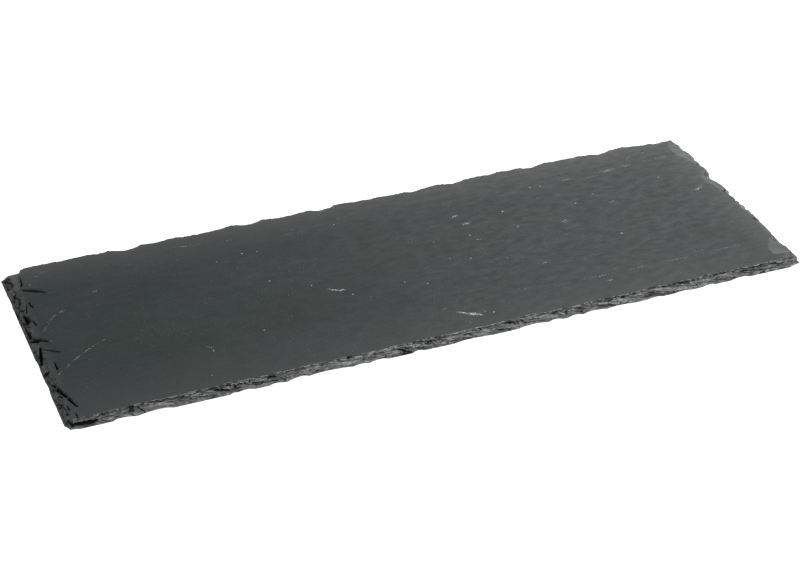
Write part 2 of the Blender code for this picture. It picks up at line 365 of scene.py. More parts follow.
FISSURE_LIMIT = 0.7  # of the thickness
FISSURE_EDGE = 1.3  # where the hollow of a fissure ends, in half widths
FISSURE_SHADE = 1.6  # where its painted shade ends, in half widths
FISSURE_DOWN = 0.3  # the lower, the further that painted shade goes down the wall under a fissure's end
DEEPEST = 0.8  # of the thickness: no split and fissure together go deeper

# Small chance fissures along the battered left end: how many, how far in from the rim they start, how far
# from the front and the back they stay, their directions in degrees, their lengths, their widths, and their
# widths at the far end as a share of the first.
LEFT_FISSURES = 60
LEFT_ZONE = (0.8, 4.6)
LEFT_CLEAR = (2, 4)
LEFT_TURNS = (-80, -40)
LEFT_LENGTHS = (1.2, 3.6)
LEFT_WIDTHS = (0.25, 0.8)
LEFT_TAPERS = (0.4, 1.2)

GRAIN = ((1.3, 0.12), (0.5, 0.08))  # (size, height) of the broken wall's roughness
GRAIN_STEPS = 10  # the wall's roughness is told apart in so many steps
UPPER_RELIEF = ((70.0, 34.0, 0.07), (19.0, 8.0, 0.012), (6.0, 3.2, 0.004))  # (along, across, height)
UPPER_SINK = 0.13  # the relief stays this far under the box's top on average
UNDER_RELIEF = ((60.0, 30.0, 0.16), (18.0, 9.0, 0.05))
UNDER_RISE = 10.0  # the underside's relief starts at nothing at the rim, and is full this far inside it

SHARP_ANGLE = math.radians(32)
BEND_STRENGTH = 3.0  # how strongly a bend in the surface counts as a proud edge or an inner corner
SHORTEST = 1e-9  # metres; an edge of the mesh counts as at least this long
BROKEN_ONTO = 1.6  # how far the broken finish runs onto the upper face, in pitches of the wall
# Dust and painted sheen on the upper face: how far in from each side it reaches, and how strong it is at the
# rim. The strong right end is painted sheen of the lamp.
RIM_DUST_AND_SHEEN = {"front": (42, 0.75), "right": (30, 1.2), "back": (30, 1.1), "left": (6, 0.8)}

# The slice through the noise that each kind of unevenness is read from, so that no two are alike.
RIM_SLICE, LEAN_SLICE, ARRIS_SLICE = 0.5, 3.5, 61.5
TEETH_SLICE, TEETH_ASIDE_SLICE = 31.5, 47.5
UPPER_SLICE, UNDER_SLICE = 1.5, 8.5
WALL_SEEDS = {"front": 110, "back": 120, "left": 130, "right": 140}
LEFT_SEED = 5

# ---- colours and finishes ----

SLATE_GREEN = (0.0190, 0.0272, 0.0245, 1.0)
SLATE_BLUE = (0.0190, 0.0252, 0.0262, 1.0)
SLATE_PURPLE = (0.0230, 0.0250, 0.0262, 1.0)
# the grey of dust near the rim, which also paints the lamp's sheen there
DUST_AND_SHEEN_GREY = (0.062, 0.064, 0.063, 1.0)
BROKEN_DARK = (0.026, 0.029, 0.029, 1.0)
BROKEN_PALE = (0.168, 0.176, 0.175, 1.0)
FRESH_GREY = (0.094, 0.098, 0.099, 1.0)
# the pale of worn edges and flecks, also used as painted highlight on flake ledges and leaf lips
WEAR_AND_HIGHLIGHT_GREY = (0.36, 0.37, 0.37, 1.0)
# painted shade: the near-black painted into crevices, fissures, seams, leaf gaps and inner corners
SHADE_BLACK = (0.002, 0.002, 0.002, 1.0)
CHALK = (0.42, 0.43, 0.43, 1.0)
STONE_SPECULAR = 0.1

# Patterns in the stone: noise whose lumps have the given sizes along x, y and z, with its detail and its
# roughness. Where it is stretched, its values from low to high run from start to end.
Pattern = namedtuple("Pattern", "size detail roughness low high start end", defaults=(0.0, 1.0, 0.0, 1.0))
CLOUDS = Pattern((90, 60, 60), 3.0, 0.5)
BLUE_CLOUDS, PURPLE_CLOUDS = (0.40, 0.50), (0.52, 0.62)  # the clouds' values where these colours come in
UPPER_SHADES = (
    Pattern((50, 28, 28), 3.0, 0.5, 0.3, 0.7, 0.92, 1.12),  # broad patches
    Pattern((10, 6, 6), 4.0, 0.6, 0.3, 0.7, 0.92, 1.08),  # mottling
    Pattern((14, 1.1, 1.1), 3.0, 0.6, 0.3, 0.7, 0.95, 1.05),  # lines along the stone
    Pattern((0.5, 0.5, 0.5), 3.0, 0.7, 0.25, 0.75, 0.82, 1.18),  # fine grain
)
DUST_SHEEN_EVEN = 0.55  # how much of the dust and painted sheen falls off evenly from the rim inwards
DUST_SHEEN_CLOSE, DUST_SHEEN_CURVE = 0.2, 5.0  # how much of it stays close to the rim, and how close
UPPER_GLOSS = Pattern((8, 4, 4), 4.0, 0.6, 0.3, 0.7, 0.46, 0.58)
BROKEN_ROUGH, CHALK_ROUGH = 0.72, 0.85

BEDDING = Pattern((9.0, 9.0, 0.3), 4.0, 0.6)
BEDDING_SHARE = 0.9
BROKEN_TONES = (0.40, 1.32)  # the tones at which a broken leaf end is darkest and palest
BROKEN_GRAIN = Pattern((1.6, 1.6, 0.3), 3.0, 0.7, 0.25, 0.75, 0.85, 1.15)
FLECKS = Pattern((2.4, 2.4, 0.35), 2.0, 0.6, 0.62, 0.65)
LEAVES = Pattern((16.0, 16.0, 2.2), 2.0, 0.5)
LEAVES_HERE = Pattern((5.0, 5.0, 2.5), 2.0, 0.5, 0.47, 0.53)
# Thin lines where the leaves' noise has one value: they are full up to so far from that value and gone at so
# far from it, and have a strength.
Line = namedtuple("Line", "value full gone strength")
# the gap is painted shade between leaves; the lip is pale, part wear and part painted highlight
LEAF_GAP = Line(0.5, 0.018, 0.032, 0.85)
LEAF_LIP = Line(0.57, 0.012, 0.028, 0.9)

WORN_HERE = Pattern((2.5, 2.5, 2.5), 3.0, 0.6, 0.44, 0.58)
# What is noted on the mesh shows between two of its values, from no strength to its full one.
PROUD_SHOWS = (0.35, 0.95, 0.0, 0.8)
SUNK_SHOWS = (0.3, 1.0, 0.0, 0.6)
# the painted shade of crevices, seams and fissures
HOLLOW_SHOWS = (0.25, 0.75, 0.0, 0.97)
BUMP_LINES = Pattern((16, 1.2, 1.2), 4.0, 0.6)
BUMP_GRAIN = Pattern((0.6, 0.6, 0.6), 4.0, 0.7)
BUMP_HALF = 0.5  # the lines and the grain make half of the bump each
BUMP_DEPTH, BUMP_STRENGTH = 0.00012, 0.7  # the depth in metres

# Small dots strewn by chance: their spacing, their radius, the share of places that hold one, and how far the
# whole pattern is shifted.
Specks = namedtuple("Specks", "pitch radius share shift")
PALE_SPECKS = Specks(15.0, 0.5, 0.30, 0.0)
PALE_STRENGTH = 0.25
FAINT_SPECKS = Specks(6.0, 0.42, 0.22, 4.3)
FAINT_STRENGTH = Pattern((40, 40, 40), 2.0, 0.5, 0.42, 0.6, 0.0, 0.09)
SPECK_CORE = 0.4  # where a speck is full, as a share of its radius

# Pale marks on the upper face: centre, half length, half width, the angle of its length in degrees, strength.
Mark = namedtuple("Mark", "x y long wide turn strength")
MARKS = (
    # the two bright scratches near the middle
    Mark(-42.3, -10.0, 3.2, 0.7, -32, 1.0),
    Mark(-39.0, -11.6, 1.8, 1.0, -15, 1.0),
    Mark(11.0, -54.4, 3.4, 0.8, -38, 1.0),
    Mark(15.2, -57.2, 3.2, 1.2, -22, 1.1),
    Mark(18.4, -58.8, 1.6, 0.8, -55, 1.0),
    # single bright dots
    Mark(121.2, -14.5, 1.2, 0.6, -40, 0.9),
    # loose clusters
    Mark(44.5, 35.3, 2.4, 1.0, 20, 0.72),
    Mark(46.5, 25.7, 3.4, 1.4, 5, 0.72),
    Mark(46.7, 8.0, 1.6, 0.9, 0, 0.6),
    Mark(29.3, 29.7, 2.4, 0.6, 0, 0.6),
    Mark(3.3, -47.6, 1.6, 0.9, 0, 0.6),
    Mark(70.1, -26.3, 1.6, 0.6, 0, 0.6),
    Mark(132.0, 17.6, 2.4, 0.6, 0, 0.65),
    Mark(94.4, -54.4, 2.2, 0.6, 0, 0.6),
    Mark(-118.0, -36.0, 1.8, 0.9, -30, 0.55),
    Mark(-117.0, -40.0, 1.0, 0.7, -60, 0.6),
    Mark(97.6, 8.1, 2.6, 1.5, 5, 0.72),
    Mark(-20.0, 51.5, 2.2, 0.8, 30, 0.5),
    Mark(-15.5, 57.5, 1.6, 0.7, 40, 0.5),
    Mark(162.3, 58.2, 1.8, 1.1, 60, 0.7),
    Mark(173.0, 60.5, 1.6, 0.9, 10, 0.6),
    Mark(194.0, 50.0, 3.4, 0.9, 10, 0.6),
    # the chalky rubbing and the long curved scratch at the left end
    Mark(-189.5, 11.0, 5.0, 0.6, 52, 0.55),
    Mark(-184.0, 19.0, 4.6, 0.5, 47, 0.6),
    Mark(-178.8, 22.6, 2.2, 0.9, 28, 0.52),
    Mark(-190.0, -1.5, 1.2, 1.0, 0, 0.6),
    Mark(-192.3, -30.3, 2.6, 0.3, 40, 0.55),
    Mark(-188.4, -26.6, 4.6, 0.3, 42, 0.62),
    Mark(-181.5, -20.6, 4.8, 0.3, 38, 0.66),
    Mark(-174.0, -15.2, 4.8, 0.35, 33, 0.66),
    Mark(-167.0, -11.2, 4.2, 0.35, 27, 0.6),
    Mark(-188.0, 53.5, 1.0, 0.8, 0, 0.6),
    Mark(-179.0, 62.5, 1.8, 0.9, 15, 0.6),
    Mark(-183.0, 60.0, 1.2, 0.7, -30, 0.45),
    Mark(-158.0, 34.5, 2.0, 0.7, 15, 0.5),
    # faint streaks along the grain
    Mark(-103.0, 60.0, 9.0, 0.5, -9, 0.45),
    Mark(-79.5, 57.0, 3.0, 0.4, -10, 0.5),
    Mark(-44.0, 51.5, 6.5, 0.4, 0, 0.42),
    Mark(-27.0, 16.5, 7.0, 0.4, 8, 0.35),
    Mark(92.0, -49.0, 8.0, 0.8, 0, 0.5),
    Mark(112.0, -49.0, 9.0, 0.8, 0, 0.4),
    Mark(140.0, -49.2, 12.0, 0.8, 0, 0.42),
    Mark(168.0, -48.6, 9.0, 0.8, 0, 0.4),
    Mark(104.0, -45.0, 5.0, 0.6, 3, 0.35),
    Mark(150.0, -45.5, 6.0, 0.6, -2, 0.35),
    Mark(118.0, 48.6, 4.0, 0.9, 0, 0.5),
    Mark(132.4, 46.5, 7.0, 0.6, 4, 0.45),
    Mark(144.5, 49.6, 6.5, 1.8, 2, 0.5),
    Mark(158.0, 50.6, 9.0, 0.8, 3, 0.42),
    Mark(176.2, 51.4, 9.0, 1.0, 0, 0.45),
    Mark(182.4, 12.3, 5.0, 1.5, 24, 0.6),
)

# Round dots: centre, radius, strength.
Dot = namedtuple("Dot", "x y radius strength")
DOTS = (
    Dot(-35.0, -17.6, 0.5, 1.3),
    Dot(-52.0, -1.6, 0.5, 1.2),
    Dot(26.0, -59.4, 0.6, 1.4),
    Dot(22.0, -57.0, 0.5, 1.0),
    Dot(5.5, -50.4, 0.4, 0.5),
    Dot(43.0, -64.5, 0.5, 1.1),
    Dot(-124.0, -59.5, 0.6, 0.9),
    Dot(-88.0, -31.5, 0.5, 1.1),
    Dot(-71.0, 10.5, 0.5, 0.9),
    Dot(-91.0, 38.5, 0.5, 1.1),
    Dot(-76.0, 41.5, 0.5, 1.0),
    Dot(-68.0, 40.5, 0.5, 1.1),
    Dot(4.9, -22.3, 0.6, 1.4),
    Dot(112.0, 23.5, 0.6, 0.9),
    Dot(125.3, 29.1, 0.5, 1.1),
    Dot(70.8, 30.2, 0.6, 1.3),
    Dot(95.9, 48.4, 0.5, 1.2),
    Dot(78.3, -7.3, 0.5, 1.2),
    Dot(44.4, 14.0, 0.5, 1.2),
    Dot(45.5, 46.2, 0.5, 0.9),
    Dot(23.3, 14.6, 0.5, 0.9),
    Dot(-5.7, -16.6, 0.5, 1.0),
    Dot(35.5, -7.7, 0.5, 1.0),
    Dot(25.2, -3.6, 0.5, 0.9),
    Dot(53.5, -14.3, 0.5, 0.8),
    Dot(94.9, 36.3, 0.5, 0.9),
    Dot(141.8, 7.0, 0.5, 0.9),
    Dot(168.1, 32.3, 0.5, 0.9),
    Dot(66.1, -47.3, 0.6, 0.9),
    Dot(49.6, -45.8, 0.5, 0.8),
    Dot(101.8, 47.8, 0.5, 0.9),
    Dot(72.3, 12.9, 1.2, 0.6),
)

MARK_EDGE, MARK_CORE = 1.6, 0.3  # where a mark begins and where it is full, in shares of its half sizes
MARK_WAVER, MARK_WAVER_SIZE = 1.2, 1.6  # how far the marks' outlines waver, and over what length
STREWN_CHALK = Pattern((30, 18, 18), 2.0, 0.5, 0.5, 0.8, 0.0, 0.13)
MARK_PATCHES = Pattern((5, 3, 3), 2.0, 0.5, 0.38, 0.55, 0.55, 1.0)
CHALK_GRAINS = Pattern((0.7, 0.7, 0.7), 2.0, 0.6)
CHALK_CROWDING = 0.4  # how much a mark adds to the grains
CHALK_SHOWS = (0.68, 0.88)  # the sum at which grains begin to show, and at which they are full

# ---- the blank: a grid for the upper face, a wall drawn down from its rim, and a closed underside ----


def deselect_all():
    if bpy.context.mode != "OBJECT":
        bpy.ops.object.mode_set(mode="OBJECT")
    bpy.ops.object.select_all(action="DESELECT")


def select_only(piece):
    deselect_all()
    piece.select_set(True)
    bpy.context.view_layer.objects.active = piece


def select_faces(mesh, wanted):
    cells = bmesh.from_edit_mesh(mesh)
    for cell in cells.faces:
        cell.select_set(bool(wanted(cell.calc_center_median() / MM, cell.normal)))
    bmesh.update_edit_mesh(mesh)


def sawn_blank():
    """The stone before dressing, as a plain block whose wall has one level of points for each row to come."""
    deselect_all()
    cells_x, cells_y = round(2 * RIM_X / TOP_CELL), round(2 * RIM_Y / TOP_CELL)
    bpy.ops.mesh.primitive_grid_add(x_subdivisions=cells_x, y_subdivisions=cells_y, size=1.0)
    blank = bpy.context.active_object
    blank.name = blank.data.name = "slate_stone"
    bpy.ops.object.mode_set(mode="EDIT")
    bpy.ops.transform.resize(value=(2 * RIM_X * MM, 2 * RIM_Y * MM, 1.0))
    bpy.ops.transform.translate(value=(0, 0, THICKNESS * MM))

    bpy.ops.mesh.select_mode(type="FACE")
    select_faces(blank.data, lambda middle, _: (
        abs(middle.y) > RIM_Y - TOP_CELL or middle.x < LEFT_BAND - RIM_X or middle.x > RIM_X - RIGHT_BAND))
    bpy.ops.mesh.subdivide(number_cuts=RIM_CUTS)

    bpy.ops.mesh.select_mode(type="EDGE")
    bpy.ops.mesh.select_all(action="DESELECT")
    bpy.ops.mesh.select_non_manifold(use_wire=False, use_multi_face=False, use_non_contiguous=False,
                                     use_verts=False)
    drop = THICKNESS * MM / FOOT
    for _ in range(FOOT):
        bpy.ops.mesh.extrude_edges_move(TRANSFORM_OT_translate={"value": (0, 0, -drop)})
    bpy.ops.mesh.edge_face_add()
    bpy.ops.mesh.select_all(action="SELECT")
    bpy.ops.mesh.normals_make_consistent(inside=False)

    bpy.ops.mesh.select_mode(type="FACE")
    for axis, half in ((0, RIM_X), (1, RIM_Y)):
        for step in range(1, int(2 * half / UNDER_CELL)):
            select_faces(blank.data, lambda _, normal: normal.z < DOWNWARD)
            place, across = [0, 0, 0], [0, 0, 0]
            place[axis] = (step * UNDER_CELL - half) * MM
            across[axis] = 1
            bpy.ops.mesh.bisect(plane_co=place, plane_no=across, threshold=CUT_SNAP * WALL_PITCH * MM)
    bpy.ops.object.mode_set(mode="OBJECT")
    return blank


# ---- dressing: how far in every level of the wall stands, along each side ----


def noise_on(xs, ys, size, layer):
    """Smooth noise from -1 to 1 at each point, with lumps of the given size."""
    found = [noise.noise(Vector((x / size, y / size, layer))) for x, y in zip(np.ravel(xs), np.ravel(ys))]
    return np.reshape(found, np.shape(xs))


def waves_on(xs, ys, waves, layer):
    """Noise of several (size, height) pairs, added up."""
    return sum(height * noise_on(xs, ys, size, layer) for size, height in waves)


def share_across(offset, below, above):
    """1 in the middle of a scar, falling to 0 at its two ends."""
    part = offset / np.where(offset > 0, above, below)
    return np.maximum(0.0, 1.0 - part * part) ** SCAR_CURVE


def blow_inset(blow, places, depth):
    """A scar keeps its full reach for half its depth, and then runs out."""
    left_over = np.clip(2.0 - 2.0 * depth / blow.depth, 0.0, 1.0)
    return blow.reach * left_over * share_across(places - blow.at, blow.below, blow.above)


def crevice_inset(crevice, places, depth):
    """The hollow is deepest just under the line, runs out below it, and fades towards the line's ends."""
    starts, depths = zip(*sorted(crevice.line))
    roof = np.interp(places, starts, depths)
    middle, half = (starts[0] + starts[-1]) / 2, (starts[-1] - starts[0]) / 2 + CREVICE_END
    fade = np.clip(1.0 - ((places - middle) / half) ** CREVICE_CURVE, 0.0, 1.0)
    below_roof = depth - roof
    return np.where(below_roof > 0, crevice.reach * fade * np.exp(-(below_roof / crevice.height) ** 2), 0.0)


def half_length(side):
    """Half the length of one side of the blank."""
    return RIM_X if side in ("front", "back") else RIM_Y


def chance_crevices(side, draw):
    half = half_length(side)
    found = []
    for _ in range(round(2 * half / CREVICE_EVERY[side])):
        start, depth = draw.uniform(-half, half), draw.uniform(*CREVICE_DEPTHS)
        length, fall = draw.uniform(*CREVICE_LENGTHS), draw.uniform(*CREVICE_FALLS)
        reach, height = draw.uniform(*CREVICE_REACHES), draw.uniform(*CREVICE_HEIGHTS)
        found.append(Crevice(((start, depth), (start + length, depth + fall)), reach, height))
    return tuple(found)


def chance_chips(side, draw):
    half = half_length(side)
    found = []
    for _ in range(round(2 * half / CHIP_EVERY[side])):
        spread, at = draw.uniform(*CHIP_SPREADS), draw.uniform(-half, half)
        reach, depth = LEAN[side] + draw.uniform(*CHIP_REACHES), draw.uniform(*CHIP_DEPTHS)
        found.append(Blow(at, reach, depth, spread, spread * draw.uniform(*CHIP_LOPSIDED)))
    return tuple(found)


def flake_patchwork(flake, places, depth, seed):
    """Small flat facets with a sharp step from each to the next: their relief, the painted shadow of their
    seams and the painted highlight of their ledges.
    """
    along = places / flake.length
    down = (depth - flake.dip * places) / flake.height
    along, down = np.broadcast_arrays(along - along.min() + 1.0, down - down.min() + 1.0)
    wobble = FLAKE_WOBBLE * noise_on(*np.broadcast_arrays(places / FLAKE_WOBBLE_SIZE, depth), 1.0, seed)
    along, down = np.maximum(along + wobble, 1.0), np.maximum(down + wobble, 1.0)
    # Five draws for each flake: where its middle lies in its cell, its height and its two tilts.
    draws = np.random.default_rng(seed).random((int(along.max()) + 3, int(down.max()) + 3, 5))
    # Of the nearest flake and of the second nearest: the distance, the relief, and how far below its middle
    # the point lies.
    first, second = np.full(along.shape, np.inf), np.full(along.shape, np.inf)
    relief, beside, lie, lie_beside = np.zeros((4, *along.shape))
    for step_along in (-1, 0, 1):
        for step_down in (-1, 0, 1):
            column, row = along.astype(int) + step_along, down.astype(int) + step_down
            shift_along, shift_down, height, tilt_along, tilt_down = np.moveaxis(draws[column, row], -1, 0)
            off_along = along - column - shift_along
            off_down = down - row - shift_down
            gap = np.hypot(off_along, off_down)
            tilted = (tilt_along - 0.5) * off_along + (tilt_down - 0.5) * off_down
            facet = 2 * height - 1 + 2 * FLAKE_TILT * tilted
            wins, runs_up = gap < first, gap < second
            beside = np.where(wins, relief, np.where(runs_up, facet, beside))
            lie_beside = np.where(wins, lie, np.where(runs_up, off_down, lie_beside))
            second = np.where(wins, first, np.minimum(gap, second))
            relief = np.where(wins, facet, relief)
            lie = np.where(wins, off_down, lie)
            first = np.minimum(gap, first)
    from_border = (second - first) * flake.height / 2
    under_another = lie_beside > lie
    seam = under_another * np.clip(1.0 - from_border / SEAM, 0, 1) * np.clip(relief - beside, 0, 1)
    ledge = under_another * np.clip(LEDGE_END - from_border / LEDGE, 0, 1) * np.clip(beside - relief, 0, 1)
    return flake.spread * relief, seam, ledge


def side_tone(side, places):
    half = half_length(side)
    return np.interp(places, (-half, 0.0, half), SIDE_TONE[side])


def on_rim(side, places):
    """The x and the y of places along one side of the blank."""
    ones = np.ones(len(places))
    return {
        "front": (places, -RIM_Y * ones),
        "back": (places, RIM_Y * ones),
        "left": (-RIM_X * ones, places),
        "right": (RIM_X * ones, places),
    }[side]


# The wall of one side. Each table has a row for each level and a column for each place along the side.
Wall = namedtuple("Wall", "places insets hollows tones edges")


def dressed_wall(side, seed):
    half = half_length(side)
    places = np.linspace(-half, half, round(2 * half / WALL_PITCH) + 1)
    xs, ys = on_rim(side, places)
    draw = random.Random(seed)
    crevices = CREVICES[side] + chance_crevices(side, draw)
    blows = BLOWS[side] + chance_chips(side, draw)
    listed = places - ALONG_SHIFT[side]

    rim = RIM_BACK[side] + waves_on(xs, ys, RIM_WAVES, RIM_SLICE)
    across = [share_across(listed - nick.at, nick.below, nick.above) ** NICK_CURVE for nick in NICKS[side]]
    nicks = [nick.reach * share for nick, share in zip(NICKS[side], across)]
    nicked = np.max(nicks, axis=0) + np.minimum(np.min(nicks, axis=0), 0.0)

    depth = THICKNESS * np.arange(WALL_LEVELS)[:, None] / FOOT
    rim = rim + nicked * (NICK_TOP[side] + (1.0 - NICK_TOP[side]) * depth / THICKNESS)
    length, height = RIPPLE[side]
    lean = LEAN[side] + np.array([height * noise_on(xs, ys, length, LEAN_SLICE + row) for row in depth[:, 0]])
    leaning = lean * np.maximum(0.0, 1.0 - depth / THICKNESS) ** LEAN_CURVE
    scarred = np.max([blow_inset(blow, listed, depth) for blow in blows], axis=0)
    hollow = np.max([crevice_inset(crevice, listed, depth) for crevice in crevices], axis=0)
    patches = [flake_patchwork(flake, places, depth, seed + layer) for layer, flake in enumerate(FLAKES[side])]
    reliefs, seams, ledges = zip(*patches)
    flaked = sum(reliefs)
    ragged = waves_on(xs, ys, ARRIS_WAVES, ARRIS_SLICE) * np.clip(1.0 - depth / ARRIS_DEEP, 0.0, 1.0)
    calm = np.clip((THICKNESS - depth) / FLAKE_CALM, 0.0, 1.0)
    insets = rim + np.maximum(leaning, scarred) + (hollow + flaked) * calm + ragged
    insets[-1] += LOWER_ARRIS

    # Painted shade: black in the crevices, and shadow under a flake that stands out over the one below it.
    painted_shade = np.maximum(hollow * calm / BLACK_REACH, SEAM_DARK * np.max(seams, axis=0))
    tones = 0.5 - 0.5 * flaked / sum(flake.spread for flake in FLAKES[side])
    tones = np.clip(tones + np.interp(depth / THICKNESS, *WALL_TONE), 0.0, 1.0)
    # painted highlight on the upward-facing ledges; the upper edge's real wear is set just below
    edges = np.max(ledges, axis=0)
    edges[:2] = ARRIS_WEAR
    # the side's tone is partly painted light: dark at the left end as painted shade, pale at the right end
    # partly as painted light
    pale = side_tone(side, places)
    return Wall(places, np.maximum(insets, MOST_OUT), np.clip(painted_shade, 0.0, 1.0), pale * tones, pale * edges)


# ---- splits in the upper face ----


def chance_fissures():
    """Small fissures that point in from the battered left end."""
    draw = random.Random(LEFT_SEED)
    found = []
    for _ in range(LEFT_FISSURES):
        x = draw.uniform(*LEFT_ZONE) - RIM_X
        y = draw.uniform(LEFT_CLEAR[0] - RIM_Y, RIM_Y - LEFT_CLEAR[1])
        turn, length = math.radians(draw.uniform(*LEFT_TURNS)), draw.uniform(*LEFT_LENGTHS)
        width = draw.uniform(*LEFT_WIDTHS)
        end = (x + length * math.cos(turn), y + length * math.sin(turn))
        found.append(Fissure(((x, y), end), (width, width * draw.uniform(*LEFT_TAPERS))))
    return tuple(found)


def from_line(start, end, x, y):
    """A line's length, and how far each point is ahead of its start and to the right of it."""
    length = math.dist(start, end)
    ahead_x, ahead_y = (end[0] - start[0]) / length, (end[1] - start[1]) / length
    forward = (x - start[0]) * ahead_x + (y - start[1]) * ahead_y
    aside = (x - start[0]) * ahead_y - (y - start[1]) * ahead_x
    return length, forward, aside


def fissure_depth(fissure, x, y):
    """How deep one fissure is at each point, and how dark it is painted as shade."""
    depth, painted_shade = np.zeros((2, len(x)))
    for start, end, *widths in zip(fissure.line, fissure.line[1:], fissure.widths, fissure.widths[1:]):
        length, forward, aside = from_line(start, end, x, y)
        along = np.clip(forward, 0.0, length)
        width = np.interp(along, (0.0, length), widths)
        half_widths = 2 * np.hypot(aside, forward - along) / width
        deepest = np.minimum(FISSURE_DEEP * width, FISSURE_LIMIT * THICKNESS)
        depth = np.maximum(depth, np.clip(FISSURE_EDGE - half_widths, 0.0, 1.0) * deepest)
        painted_shade = np.maximum(painted_shade, np.clip(FISSURE_SHADE - half_widths, 0.0, 1.0))
    return depth, painted_shade


def split_face(split, x, y):
    """How far one split lowers the face at each point, and how fresh the stone is there."""
    walked, total = 0.0, sum(math.dist(*ends) for ends in zip(split.line, split.line[1:]))
    nearest = np.full(len(x), np.inf)
    across, share, past_end = np.zeros((3, len(x)))
    last = len(split.line) - 2
    for index, (start, end) in enumerate(zip(split.line, split.line[1:])):
        length, forward, aside = from_line(start, end, x, y)
        along = np.clip(forward, 0.0, length)
        gap = np.hypot(aside, forward - along)
        past = np.zeros(len(x))
        if index == 0:
            past = np.maximum(past, -forward)
        if index == last:
            past = np.maximum(past, forward - length)
        closer = gap < nearest
        across = np.where(closer, np.where(past > 0, aside, np.sign(aside) * gap), across)
        share = np.where(closer, (walked + along) / total, share)
        past_end = np.where(closer, past, past_end)
        nearest = np.minimum(nearest, gap)
        walked += length
    fade = np.clip(1 - past_end / SPLIT_END, 0, 1)
    drop = (split.drop[0] + (split.drop[1] - split.drop[0]) * share) * fade
    fall = drop * np.clip(1 - across / split.run_out, 0, 1) + split.slope * across * fade
    beside = across > 0
    return np.where(beside, fall, 0.0), np.where(beside, split.fresh * fade, 0.0)


def split_upper_face(x, y):
    """The drop, the painted shade and the freshness that all splits together give each point."""
    ragged_x = x + waves_on(x, y, SPLIT_TEETH, TEETH_SLICE)
    ragged_y = y + waves_on(x, y, SPLIT_TEETH, TEETH_ASIDE_SLICE)
    fall, gaps, painted_shade, fresh = np.zeros((4, len(x)))
    for split in SPLITS:
        one_fall, one_fresh = split_face(split, ragged_x, ragged_y)
        fall = np.maximum(fall, one_fall) + SPLITS_ADD * np.minimum(fall, one_fall)
        fresh = np.maximum(fresh, one_fresh)
    for fissure in FISSURES + chance_fissures():
        one_depth, one_dark = fissure_depth(fissure, ragged_x, ragged_y)
        gaps = np.maximum(gaps, one_depth)
        painted_shade = np.maximum(painted_shade, one_dark)
    return np.minimum(fall + gaps, DEEPEST * THICKNESS), painted_shade, fresh


# ---- every point of the blank to its place on the dressed stone ----


def read_rows(wall, rows, places, level):
    """One of a wall's tables, read at each point's place and level."""
    column = np.round((places - wall.places[0]) / (wall.places[1] - wall.places[0])).astype(int)
    return rows[level, np.clip(column, 0, len(wall.places) - 1)]


def stretched_noise(x, y, layers, layer):
    """Noise of several (along, across, height) kinds, added up."""
    return sum(height * noise_on(x / long, y / wide, 1.0, layer) for long, wide, height in layers)


def pulled_in(wall, along, from_side, level):
    """How far each point is drawn in from one side. The outline's fine teeth fade out inside the rim."""
    fade = np.clip(1.0 - from_side / PULL_REACH, 0.0, 1.0)
    sharp = read_rows(wall, wall.insets, along, level)
    window = np.ones(PULL_COLUMNS) / PULL_COLUMNS
    padded = np.pad(wall.insets, ((0, 0), (PULL_COLUMNS // 2, PULL_COLUMNS // 2)), mode="edge")
    smooth_rows = np.array([np.convolve(row, window, mode="valid") for row in padded])
    smooth = read_rows(wall, smooth_rows, along, level)
    softness = np.clip(from_side / PULL_SOFT, 0.0, 1.0)
    return fade * (sharp + softness * (smooth - sharp))


